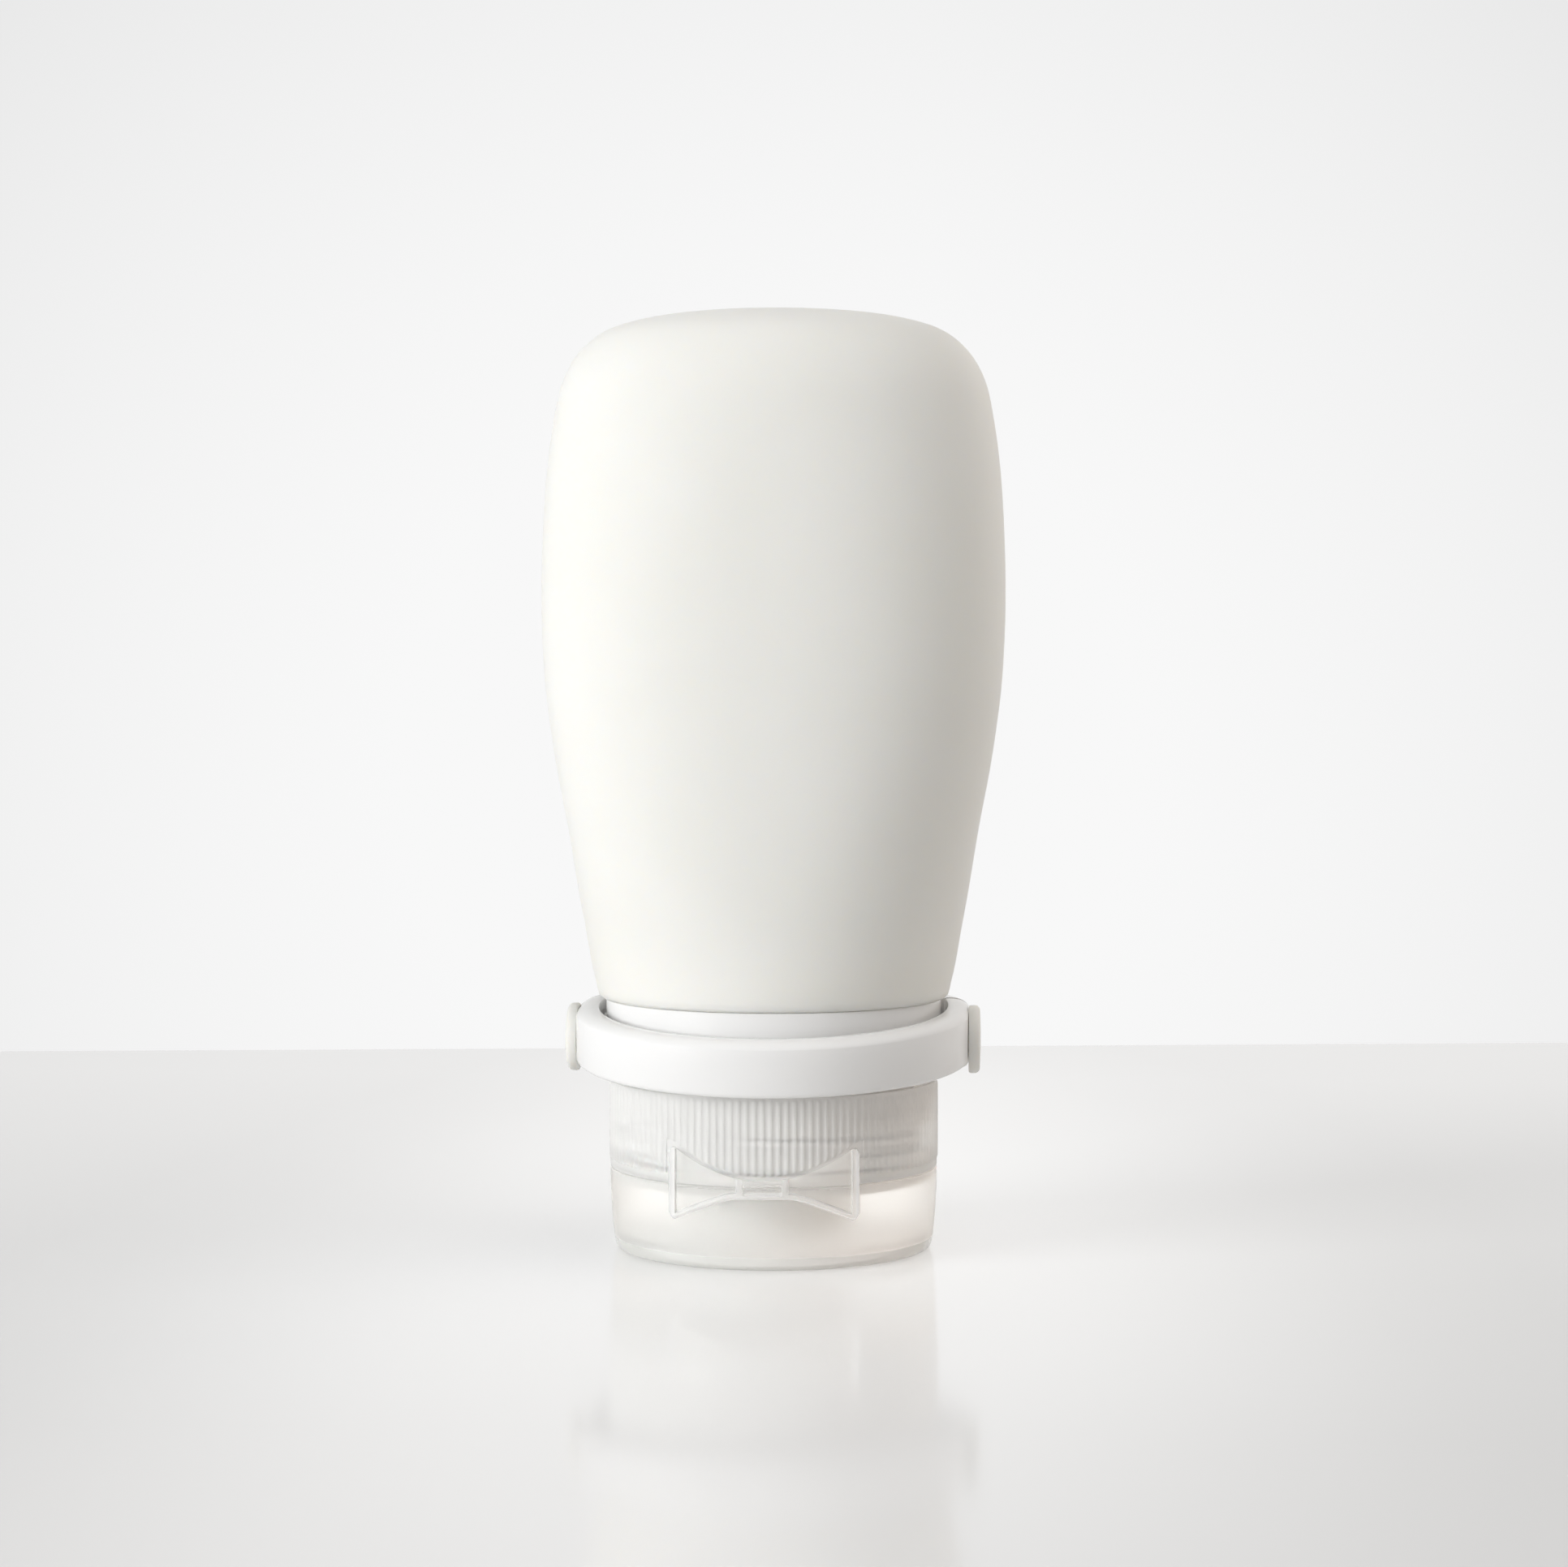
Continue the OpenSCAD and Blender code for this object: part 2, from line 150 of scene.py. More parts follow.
def join(name, *shells, sharp=40.0):
    """One object from several shells."""
    verts, faces, n = [], [], 0
    for v, f in shells:
        verts.append(np.asarray(v, float))
        faces += [tuple(i + n for i in q) for q in f]
        n += len(v)
    return make(name, np.concatenate(verts), faces, sharp)


def grid_faces(rows, cols, wrap_rows=True, wrap_cols=True):
    """Quads of a rows x cols grid of points; columns run round, rows along the section."""
    out = []
    for j in range(rows if wrap_rows else rows - 1):
        j2 = (j + 1) % rows
        for k in range(cols if wrap_cols else cols - 1):
            k2 = (k + 1) % cols
            out.append((j * cols + k, j * cols + k2, j2 * cols + k2, j2 * cols + k))
    return out


def poled_faces(rows, cols):
    """Rings closed by fans to two poles, which are the two points after the grid."""
    f = grid_faces(rows, cols, False, True)
    first, last = rows * cols, rows * cols + 1
    top = (rows - 1) * cols
    for k in range(cols):
        k2 = (k + 1) % cols
        f.append((first, k2, k))
        f.append((last, top + k, top + k2))
    return f


def slab_faces(rows, cols):
    """A closed slab of two layers of a rows x cols grid."""
    n = rows * cols
    grid = grid_faces(rows, cols, False, False)
    f = [tuple(reversed(q)) for q in grid] + [tuple(i + n for i in q) for q in grid]
    a = (rows - 1) * cols
    for k in range(cols - 1):
        f += [(k, k + 1, n + k + 1, n + k), (a + k + 1, a + k, n + a + k, n + a + k + 1)]
    for j in range(rows - 1):
        a, b = j * cols, (j + 1) * cols
        c, d = a + cols - 1, b + cols - 1
        f += [(b, a, n + a, n + b), (c, d, n + d, n + c)]
    return f


def rings(radii, heights, ang):
    """Points of rings round Z; the radii broadcast over rows and columns."""
    v = np.empty((len(heights), len(ang), 3))
    v[..., 0] = radii * np.cos(ang)
    v[..., 1] = radii * np.sin(ang)
    v[..., 2] = heights
    return v


def fillet(points, radii, steps=4):
    """Rounds the corners of a closed (r, z) outline."""
    out = []
    n = len(points)
    for i in range(n):
        p = np.array(points[i], float)
        if radii[i] <= 0:
            out.append(p)
            continue
        a, b = np.array(points[i - 1], float) - p, np.array(points[(i + 1) % n], float) - p
        la, lb = np.linalg.norm(a), np.linalg.norm(b)
        a, b = a / la, b / lb
        half = math.acos(np.clip(a @ b, -1, 1)) / 2
        if half > math.radians(88):
            out.append(p)
            continue
        d = min(radii[i] / math.tan(half), la * 0.48, lb * 0.48)
        p0, p1 = p + a * d, p + b * d
        for s in range(steps + 1):
            t = s / steps
            out.append((1 - t) ** 2 * p0 + 2 * t * (1 - t) * p + t * t * p1)
    return np.array(out)


def end_caps(rows, cols):
    """The two end faces of an arc of a closed outline."""
    return [tuple(j * cols for j in range(rows)), tuple(j * cols + cols - 1 for j in reversed(range(rows)))]


def revolve(outline, seg, start=0.0, sweep=TAU):
    """Closed ring of a closed (r, z) outline, or a capped arc of it."""
    outline = np.asarray(outline, float)
    full = abs(sweep - TAU) < 1e-9
    cols = seg if full else seg + 1
    v = rings(outline[:, :1], outline[:, 1:], start + sweep * np.arange(cols) / seg)
    f = grid_faces(len(outline), cols, True, full)
    if not full:
        f += end_caps(len(outline), cols)
    return v.reshape(-1, 3), f


def turned(profile, seg):
    """Solid of an open (r, z) profile whose first and last points lie on the axis."""
    profile = np.asarray(profile, float)
    mid = profile[1:-1]
    v = rings(mid[:, :1], mid[:, 1:], TAU * np.arange(seg) / seg)
    poles = [[0, 0, profile[0][1]], [0, 0, profile[-1][1]]]
    return np.vstack([v.reshape(-1, 3), poles]), poled_faces(len(mid), seg)


def along_x(shell, side):
    """Turns a shell made round Z so that its axis is X, to the right (1) or to the left (-1)."""
    v = np.asarray(shell[0], float)
    return np.stack([v[:, 2] * side, v[:, 1], v[:, 0] * -side], 1), shell[1]


def at_pivot(shell, side):
    v, f = along_x(shell, side)
    return v + [0, 0, PIVOT_Z], f


def spline(xs, ys, at):
    """Natural cubic spline."""
    n = len(xs)
    h = np.diff(xs)
    a = np.eye(n)
    r = np.zeros(n)
    for i in range(1, n - 1):
        a[i, i - 1], a[i, i], a[i, i + 1] = h[i - 1], 2 * (h[i - 1] + h[i]), h[i]
        r[i] = 6 * ((ys[i + 1] - ys[i]) / h[i] - (ys[i] - ys[i - 1]) / h[i - 1])
    m = np.linalg.solve(a, r)
    k = np.clip(np.searchsorted(xs, at) - 1, 0, n - 2)
    d = at - xs[k]
    b = (ys[k + 1] - ys[k]) / h[k] - h[k] * (2 * m[k] + m[k + 1]) / 6
    return ys[k] + b * d + m[k] * d ** 2 / 2 + (m[k + 1] - m[k]) * d ** 3 / (6 * h[k])


# Shader node helpers
MIX_A, MIX_B, MIX_OUT = 6, 7, 2  # the colour sockets of a Mix node


def feed(tree, socket, value):
    """Sets a socket, or links it where the value is a node's output."""
    if isinstance(value, bpy.types.NodeSocket):
        tree.links.new(value, socket)
    else:
        socket.default_value = value


def node(tree, kind, **inputs):
    new = tree.nodes.new("ShaderNode" + kind)
    for key, value in inputs.items():
        feed(tree, new.inputs[key.replace("_", " ")], value)
    return new


def ramp(tree, fac, *stops, interpolation="LINEAR"):
    """Colour ramp over (position, colour) stops in rising order."""
    new = node(tree, "ValToRGB", Fac=fac)
    new.color_ramp.interpolation = interpolation
    elements = new.color_ramp.elements
    for element, (position, color) in ((elements[0], stops[0]), (elements[1], stops[-1])):
        element.position = position
        element.color = (*color, 1)
    for position, color in stops[1:-1]:
        elements.new(position).color = (*color, 1)
    return new.outputs["Color"]


def span(tree, value, low, high, top=1.0):
    """Runs from 0 to top while the value runs from low to high."""
    return node(tree, "MapRange", Value=value, From_Min=low, From_Max=high, To_Max=top).outputs["Result"]


def calc(tree, operation, a, b):
    new = tree.nodes.new("ShaderNodeMath")
    new.operation = operation
    feed(tree, new.inputs[0], a)
    feed(tree, new.inputs[1], b)
    return new.outputs[0]


def mix_color(tree, fac, a, b):
    new = tree.nodes.new("ShaderNodeMix")
    new.data_type = "RGBA"
    for place, value in ((0, fac), (MIX_A, a), (MIX_B, b)):
        feed(tree, new.inputs[place], value)
    return new.outputs[MIX_OUT]


# Materials
def principled(name, color, rough, **sockets):
    mat = bpy.data.materials.new(name)
    mat.use_nodes = True
    bsdf = mat.node_tree.nodes["Principled BSDF"]
    bsdf.inputs["Base Color"].default_value = (*color, 1)
    bsdf.inputs["Roughness"].default_value = rough
    for key, value in sockets.items():
        bsdf.inputs[key.replace("_", " ")].default_value = value
    return mat, mat.node_tree, bsdf


def moulded(name, color, rough, bump, tint, **sockets):
    """Surface with fine bump (scale, strength, depth in metres) and slow tint (scale, low, high)."""
    mat, tree, bsdf = principled(name, color, rough, **sockets)
    place = node(tree, "TexCoord").outputs["Object"]
    bump_scale, strength, depth = bump
    grain = node(tree, "TexNoise", Vector=place, Scale=bump_scale, Detail=3.0).outputs["Fac"]
    normal = node(tree, "Bump", Height=grain, Strength=strength, Distance=depth).outputs["Normal"]
    tint_scale, low, high = tint
    cloud = node(tree, "TexNoise", Vector=place, Scale=tint_scale, Detail=2.0).outputs["Fac"]
    feed(tree, bsdf.inputs["Normal"], normal)
    feed(tree, bsdf.inputs["Base Color"], ramp(tree, cloud, (0.3, low), (0.7, high)))
    return mat


silicone = moulded(
    "silicone", (0.87, 0.86, 0.81), 0.46, (1400.0, 0.10, 0.00004),
    (60.0, (0.86, 0.85, 0.80), (0.88, 0.87, 0.825)),
    Subsurface_Weight=0.35, Subsurface_Scale=0.004, Subsurface_Radius=(1.0, 0.85, 0.65),
    Sheen_Weight=0.12, Sheen_Roughness=0.5, Specular_IOR_Level=0.35)
white = moulded(
    "white_plastic", (0.88, 0.88, 0.875), 0.22, (220.0, 0.05, 0.00005),
    (45.0, (0.875, 0.875, 0.87), (0.89, 0.89, 0.885)),
    Subsurface_Weight=0.12, Subsurface_Scale=0.002, Subsurface_Radius=(1.0, 0.95, 0.9),
    Coat_Weight=0.25, Coat_Roughness=0.12)
button_mat = moulded(
    "button_silicone", (0.84, 0.83, 0.785), 0.42, (1400.0, 0.08, 0.00003),
    (90.0, (0.83, 0.82, 0.775), (0.85, 0.84, 0.795)),
    Subsurface_Weight=0.25, Subsurface_Scale=0.002, Subsurface_Radius=(1.0, 0.85, 0.65),
    Specular_IOR_Level=0.4)
inner_mat = moulded(
    "inner_plastic", (0.80, 0.80, 0.79), 0.38, (500.0, 0.05, 0.00004),
    (60.0, (0.79, 0.79, 0.78), (0.82, 0.82, 0.81)), Subsurface_Weight=0.15, Subsurface_Scale=0.002)
seal_mat = moulded(
    "seal_rubber", (0.80, 0.79, 0.75), 0.5, (900.0, 0.08, 0.00004),
    (80.0, (0.78, 0.77, 0.73), (0.82, 0.81, 0.77)), Subsurface_Weight=0.2, Subsurface_Scale=0.002)

# One milky clear plastic in several thicknesses: skirt, nozzle, lid, lid floor, lower edge, tab, tab rim.
# The faces within are nearly clear, so that the milk is counted once, in the outer faces.
skirt_mat = moulded(
    "frosted_cap", (0.985, 0.985, 0.975), 0.34, (260.0, 0.06, 0.00005),
    (50.0, (0.975, 0.975, 0.965), (0.99, 0.99, 0.98)),
    Alpha=0.93, Transmission_Weight=0.45, IOR=1.1, Coat_Weight=0.15, Coat_Roughness=0.15)
nozzle_mat = moulded(
    "frosted_nozzle", (0.96, 0.96, 0.945), 0.5, (260.0, 0.06, 0.00005),
    (50.0, (0.95, 0.95, 0.935), (0.97, 0.97, 0.955)), Alpha=0.6, Transmission_Weight=0.3, IOR=1.12)
lid_mat = moulded(
    "clear_lid", (0.99, 0.99, 0.98), 0.6, (200.0, 0.05, 0.00005),
    (40.0, (0.985, 0.985, 0.972), (0.995, 0.995, 0.985)),
    Alpha=0.95, Transmission_Weight=0.85, IOR=1.22, Coat_Weight=0.2, Coat_Roughness=0.1)
within_mat = moulded(
    "clear_within", (0.98, 0.98, 0.97), 0.15, (200.0, 0.05, 0.00004),
    (40.0, (0.97, 0.97, 0.96), (0.99, 0.99, 0.98)), Alpha=0.05, IOR=1.42)
plate_mat = moulded(
    "clear_plate", (0.99, 0.99, 0.98), 0.4, (200.0, 0.05, 0.00004),
    (40.0, (0.97, 0.97, 0.96), (0.99, 0.99, 0.98)), Alpha=0.9, Transmission_Weight=0.75, IOR=1.12)
edge_mat = moulded(
    "clear_edge", (0.88, 0.885, 0.85), 0.16, (200.0, 0.04, 0.00003),
    (40.0, (0.87, 0.88, 0.84), (0.89, 0.89, 0.86)),
    Alpha=0.55, IOR=1.42, Coat_Weight=0.3, Coat_Roughness=0.06)
tab_mat = moulded(
    "clear_tab", (0.985, 0.985, 0.98), 0.2, (200.0, 0.05, 0.00004),
    (40.0, (0.98, 0.98, 0.975), (0.99, 0.99, 0.985)),
    Alpha=0.5, Transmission_Weight=0.8, IOR=1.2, Coat_Weight=0.3, Coat_Roughness=0.08)
rim_mat = moulded(
    "clear_rim", (0.985, 0.985, 0.98), 0.12, (200.0, 0.05, 0.00004),
    (40.0, (0.98, 0.98, 0.975), (0.99, 0.99, 0.985)),
    Alpha=0.85, Transmission_Weight=0.6, IOR=1.45, Coat_Weight=0.4, Coat_Roughness=0.08)


def more_slots(ob, *pairs):
    """Gives the faces whose middle passes a test of x, y, z and radius in mm another material."""
    for mat, test in pairs:
        ob.data.materials.append(mat)
        index = len(ob.data.materials) - 1
        for p in ob.data.polygons:
            x, y, z = p.center / MM
            if test(x, y, z, math.hypot(x, y)):
                p.material_index = index


def dress(ob, mat, body, cad_node):
    ob.data.materials.clear()
    ob.data.materials.append(mat)
    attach(ob, body)
    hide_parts(cad_node)
    return ob


# Soft body
def body_profile(count):
    """Rows of side half size, front half size, height and the power of the section's curve."""
    steps = np.hypot(np.diff(STATIONS[:, 0] * ARC_H), np.diff(STATIONS[:, 1] * ARC_W))
    arc = np.concatenate([[0], np.cumsum(steps)])
    at = np.linspace(0, arc[-1], count)
    f, a, d = (np.clip(spline(arc, STATIONS[:, i], at), 0, 1) for i in range(3))
    power = 2 + 0.35 * np.sin(np.pi * f)
    return np.stack([a * BODY_W / 2, d * BODY_D / 2, BODY_Z + f * (BODY_TOP - BODY_Z), power], 1)


def body_skin(cols=160):
    """Outer skin from the crown down, neck and clamped lip, then the inner skin up again."""
    outer = body_profile(150)
    slope = np.arctan2(np.gradient(outer[:, 2]), np.gradient(outer[:, 0]))
    inner = outer.copy()
    inner[:, 0] -= WALL * np.sin(slope)
    inner[:, 1] -= WALL * np.sin(slope)
    inner[:, 2] += WALL * np.cos(slope)
    inner = inner[(inner[:, 2] > BODY_Z + 11.5) & (inner[:, 0] > 1.0) & (inner[:, 1] > 0.8)][::2]
    lip_r = SPIGOT_R - 0.2
    lip_top = LIP_Z + 0.65
    web = WEB_TOP + 0.05
    neck = [[SHOULDER_R + 1.2, SHOULDER_R + 1.0, BODY_Z, 2], [SHOULDER_R, SHOULDER_R, BODY_Z, 2],
            [SHOULDER_R, SHOULDER_R, web, 2], [NECK_R, NECK_R, web, 2],
            [NECK_R, NECK_R, lip_top, 2], [lip_r, lip_r, lip_top, 2], [lip_r, lip_r, LIP_Z, 2],
            [NECK_IN, NECK_IN, LIP_Z, 2], [NECK_IN, NECK_IN, BODY_Z - 0.6, 2],
            [NECK_IN + 1.3, NECK_IN + 1.3, BODY_Z + 1.2, 2], [NECK_IN + 3.6, NECK_IN + 3.3, BODY_Z + 2.9, 2],
            [NECK_IN + 5.4, NECK_IN + 4.5, BODY_Z + 5.4, 2.1]]
    rows = np.vstack([outer[::-1][1:], neck, inner])
    ang = TAU * np.arange(cols) / cols
    c, s = np.cos(ang), np.sin(ang)
    v = np.empty((len(rows), cols, 3))
    for j, (a, d, z, power) in enumerate(rows):
        v[j, :, 0] = a * np.sign(c) * np.abs(c) ** (2 / power)
        v[j, :, 1] = d * np.sign(s) * np.abs(s) ** (2 / power)
        v[j, :, 2] = z
    poles = [[0, 0, BODY_TOP], [0, 0, inner[-1][2]]]
    return np.vstack([v.reshape(-1, 3), poles]), poled_faces(len(rows), cols)


dress(join("soft_body", body_skin(), sharp=50), silicone, "bottle", "squeeze_body")


# Threads
THREAD_W = 1.3
THREAD_ROOT = 0.15  # how far a thread's foot reaches into its wall


def helix(radius, rise, z0, turns, seg=96, inward=False):
    """A trapezoid thread ridge that runs out at both ends."""
    n = int(seg * turns)
    outward = -1 if inward else 1
    run_out = seg * 0.12
    v = []
    for i in range(n + 1):
        a = TAU * turns * i / n
        k = min(1.0, i / run_out, (n - i) / run_out)
        h = max(0.02, rise * math.sin(k * math.pi / 2))
        z = z0 + PITCH * a / TAU
        for dr, dz in ((-THREAD_ROOT, -0.5), (h, -0.22), (h, 0.22), (-THREAD_ROOT, 0.5)):
            r = radius + outward * dr
            v.append((r * math.cos(a), -r * math.sin(a), z + dz * THREAD_W))
    ends = [(3, 2, 1, 0), (n * 4, n * 4 + 1, n * 4 + 2, n * 4 + 3)]
    return np.array(v), grid_faces(n + 1, 4, False, True) + ends


# Neck collar
collar = revolve(fillet(
    [(SPIGOT_IN, SPIGOT_Z), (SPIGOT_R, SPIGOT_Z), (SPIGOT_R, COLLAR_Z), (COLLAR_R, COLLAR_Z),
     (COLLAR_R, COLLAR_TOP), (COLLAR_IN, COLLAR_TOP), (COLLAR_IN, WEB_TOP), (SPIGOT_IN, WEB_TOP)],
    [0.2, 0.35, 0.2, 0.3, 0.25, 0.1, 0.1, 0.1]), 256)


def band_outline(low, high):
    """Section of the band: small lower edge, top that rounds off outwards."""
    foot, shoulder, drop = 0.6, 1.9, 0.95
    out = [(BAND_IN + 0.2, low), (BAND_R - foot, low)]
    for k in range(1, 7):
        a = math.pi / 2 * k / 6
        out.append((BAND_R - foot + foot * math.sin(a), low + foot * (1 - math.cos(a))))
    for k in range(11):
        a = math.pi / 2 * k / 10
        out.append((BAND_R - shoulder * (1 - math.cos(a)) ** 0.9, high - drop + drop * math.sin(a) ** 1.15))
    out += [(BAND_IN + 0.25, high), (BAND_IN + 0.07, high - 0.07),
            (BAND_IN, high - 0.25), (BAND_IN, low + 0.2)]
    return out


def band_arc(outline, y_end, seg, behind):
    """Arc of the band, behind or in front, that ends in a flat face at y_end along Y."""
    rows = []
    for r, z in outline:
        end = math.asin(y_end / r)
        a0, a1 = (end, math.pi - end) if behind else (math.pi - end, TAU + end)
        ang = a0 + (a1 - a0) * np.arange(seg + 1) / seg
        rows.append(np.stack([r * np.cos(ang), r * np.sin(ang), np.full(seg + 1, z)], 1))
    f = grid_faces(len(outline), seg + 1, True, False) + end_caps(len(outline), seg + 1)
    return np.stack(rows).reshape(-1, 3), f


back_band = band_arc(band_outline(BAND_LOW, BAND_HIGH), EAR_END, 192, True)
web_in, web_out = COLLAR_R - 0.4, BAND_IN + 0.4
web_low, web_high = PIVOT_Z - 1, PIVOT_Z + 1
web_r = 20.0  # a radius within the band
web_start = math.asin(EAR_END / web_r) + 0.02
back_web = revolve([(web_in, web_low), (web_out, web_low), (web_out, web_high), (web_in, web_high)],
                   128, web_start, math.pi - 2 * web_start)
boss = revolve([(PIN_R + 0.03, BOSS_START), (EYE_R, BOSS_START), (EYE_R, BOSS_X), (PIN_R + 0.03, BOSS_X)], 48)
spigot_thread = helix(SPIGOT_R, 0.75, SPIGOT_Z + 1.0, 1.45)
dress(join("collar", collar, back_band, back_web, at_pivot(boss, 1), at_pivot(boss, -1), spigot_thread),
      white, "bottle", "neck_collar")


# Swinging half band
def loop_shell():
    v, f = band_arc(band_outline(LOOP_LOW, LOOP_HIGH), LOOP_TAIL, 224, False)
    v[:, 0] = np.clip(v[:, 0], -EAR_FLAT, EAR_FLAT)
    return v, f


def drooped(shell):
    """Tilts a shell made round the origin by the half ring's droop and raises it to the pivots."""
    v, f = shell
    c, s = math.cos(DROOP), math.sin(DROOP)
    return np.stack([v[:, 0], v[:, 1] * c - v[:, 2] * s, v[:, 1] * s + v[:, 2] * c + PIVOT_Z], 1), f


ear = revolve(fillet(
    [(PIN_R + 0.05, BAND_IN), (EYE_R, BAND_IN), (EYE_R, EAR_FLAT - 0.02), (PIN_R + 0.05, EAR_FLAT - 0.02)],
    [0, 0.2, 0.4, 0.1]), 72)
dress(join("half_band", drooped(loop_shell()), drooped(along_x(ear, 1)), drooped(along_x(ear, -1))),
      white, "loop", "swing_loop")

# Pivot buttons
pin = PIN_R - 0.01
knob = [(0, COLLAR_IN + 0.45), (pin, COLLAR_IN + 0.45), (pin, EAR_FLAT + 0.06),
        (EAR_R - 0.22, EAR_FLAT + 0.06), (EAR_R - 0.07, EAR_FLAT + 0.12), (EAR_R, EAR_FLAT + 0.28)]
for k in range(9):
    a = math.pi / 2 * k / 8
    knob.append((EAR_R - 0.62 * (1 - math.cos(a)), EAR_FLAT + 0.75 + 0.6 * math.sin(a)))
knob += [(EAR_R - 1.6, EAR_FLAT + 1.4), (EAR_R - 2.8, EAR_FLAT + 1.44), (0, EAR_FLAT + 1.45)]
for side, word in ((1, "right"), (-1, "left")):
    dress(join("button_" + word, at_pivot(turned(knob, 96), side)), button_mat, "bottle",
          "pivot_button_" + word)


# Outline of the thumb tab
def tab_upper(x, grow=0.0):
    flare = np.minimum(1.06, np.abs(x) / (TAB_W - 0.85)) ** 2 * 1.12
    return PARTING_Z + TAB_KNOT / 2 - 0.1 + grow + (TAB_END - TAB_KNOT) / 2 * flare


def tab_lower(x):
    flare = 0.85 * np.maximum(0, (np.abs(x) - TAB_FLAT) / (TAB_W - 1 - TAB_FLAT)) ** 1.25
    return PARTING_Z - TAB_KNOT / 2 - 0.05 - (TAB_END - TAB_KNOT) / 2 * flare


def tab_edges(x):
    """Lower and upper edge at x, with the rounded outer corners."""
    corner = max(0.0, abs(x) - (TAB_W - TAB_CORNER)) / TAB_CORNER
    return tab_lower(x) + 1.2 * corner ** 2.5, tab_upper(x) - 1.0 * corner ** 2.5


def from_rim(x, z):
    """0 on the tab's side or lower edge, 1 from the inner end of its rounded rim."""
    side = (TAB_W - abs(x)) / SIDE_ROLL
    low = (z - tab_edges(x)[0]) / LOW_ROLL
    return max(0.0, min(1.0, side, low))


# Ribbed cap base
RIB_COLS = 8  # columns of points for each rib
TAB_GAP = 0.32  # from the tab's upper edge to the ribs above it


def cap_shell():
    cols = RIBS * RIB_COLS
    ang = TAU * np.arange(cols) / cols
    phase = np.arange(cols) % RIB_COLS / RIB_COLS
    rib = 0.5 * (RIB_R - CAP_R) * np.clip(np.cos(phase * TAU) * 1.6 + 0.35, 0, 1)
    front = (np.sin(ang) < 0) & (np.abs(CAP_R * np.cos(ang)) < TAB_W + 0.35)
    start = np.where(front, tab_upper(CAP_R * np.cos(ang), TAB_GAP), SKIRT_Z + 0.95)
    radii, heights = [], []

    def row(r, z, amount=0):
        """One row round the cap, with this share of the ribs' height."""
        radii.append(r + rib * amount)
        heights.append(np.broadcast_to(z, cols))

    row(STEP_R, SKIRT_Z - 0.06)
    row(CAP_R - 0.2, SKIRT_Z - 0.05)
    row(CAP_R - 0.05, SKIRT_Z + 0.02)
    row(CAP_R, SKIRT_Z + 0.2)
    row(CAP_R, (start + SKIRT_Z) / 2)
    row(CAP_R, start - 0.12)
    row(CAP_R, start)
    row(CAP_R, start + 0.10, 0.8)
    rib_low, rib_high = start + 0.22, SKIRT_TOP - 0.55
    row(CAP_R, rib_low, 1)
    for k in range(1, 6):
        row(CAP_R, rib_low + (rib_high - rib_low) * k / 5, 1)
    row(CAP_R, SKIRT_TOP - 0.35, 0.75)
    row(CAP_R - 0.02, SKIRT_TOP - 0.15, 0.1)
    row(CAP_R - 0.06, SKIRT_TOP + 0.05)
    row(CAP_R - 0.25, SKIRT_TOP + 0.15)
    # within: bore, deck with centring ring, valve seat, nozzle and step
    inner = fillet(
        [(CAP_BORE, SKIRT_TOP + 0.15), (CAP_BORE, DECK_Z), (CENTRING_R, DECK_Z), (CENTRING_R, DECK_Z + 2.9),
         (CENTRING_R - 1, DECK_Z + 2.9), (CENTRING_R - 1, DECK_Z), (VALVE_R, DECK_Z), (VALVE_R, SEAT_Z),
         (SPOUT_R, SEAT_Z), (SPOUT_R + 0.6, NOZZLE_Z), (NOZZLE_R - 1.0, NOZZLE_Z), (NOZZLE_R, NOZZLE_Z + 1.6),
         (NOZZLE_R, STEP_Z), (STEP_R, STEP_Z)],
        [0.3, 0.4, 0.2, 0.2, 0.2, 0.1, 0.15, 0, 0.15, 0.2, 0.7, 0.8, 0.3, 0.25], 2)
    for r, z in inner:
        row(r, z)
    return rings(np.stack(radii), np.stack(heights), ang).reshape(-1, 3), grid_faces(len(radii), cols)


def on_bore(x, y, z, r):
    return CAP_BORE - 0.05 < r < CAP_BORE + 0.05 and DECK_Z + 0.4 < z < SKIRT_TOP - 0.1


def on_nozzle(x, y, z, r):
    """The nozzle, and the faces of the thread in the bore."""
    thread = CAP_BORE - 0.9 < r < CAP_BORE - 0.1 and DECK_Z + 1 < z < SKIRT_TOP - 0.7
    return r < NOZZLE_R + 0.4 and z < DECK_Z - 0.1 or thread


cap_thread = helix(CAP_BORE, 0.6, SPIGOT_Z - 1.1, 1.6, inward=True)
cap = dress(join("ribbed_cap", cap_shell(), cap_thread, sharp=32),
            skirt_mat, "cap", "cap_base")
more_slots(cap, (within_mat, on_bore), (nozzle_mat, on_nozzle))

# Flip lid with thumb tab
TAB_MIDDLE = 90  # columns of points up to the rounded side rim
SIDE_COLS = np.array([1.05, 0.93, 0.74, 0.45, 0.28, 0.15, 0.06, 0.0])  # from the tab's side edge
LOW_ROWS = (0, 0.06, 0.15, 0.27, 0.42, 0.66, 0.83, 0.95)  # from its lower edge


def clamp(value):
    return max(0.0, min(1.0, value))


def scoop(x, z):
    """Depth of the hollow fields beside the knot, and of the small one in its middle."""
    if abs(x) > TAB_FLAT - 0.4:
        fade = min(1.0, (abs(x) - TAB_FLAT + 0.4) / 0.5)
        return 0.5 * fade * clamp((from_rim(x, z) - 0.78) / 0.2)
    knot = clamp((TAB_FLAT - 0.95 - abs(x)) / 0.35)
    return 0.4 * knot * clamp((0.62 - abs(z - PARTING_Z + 0.05)) / 0.22)


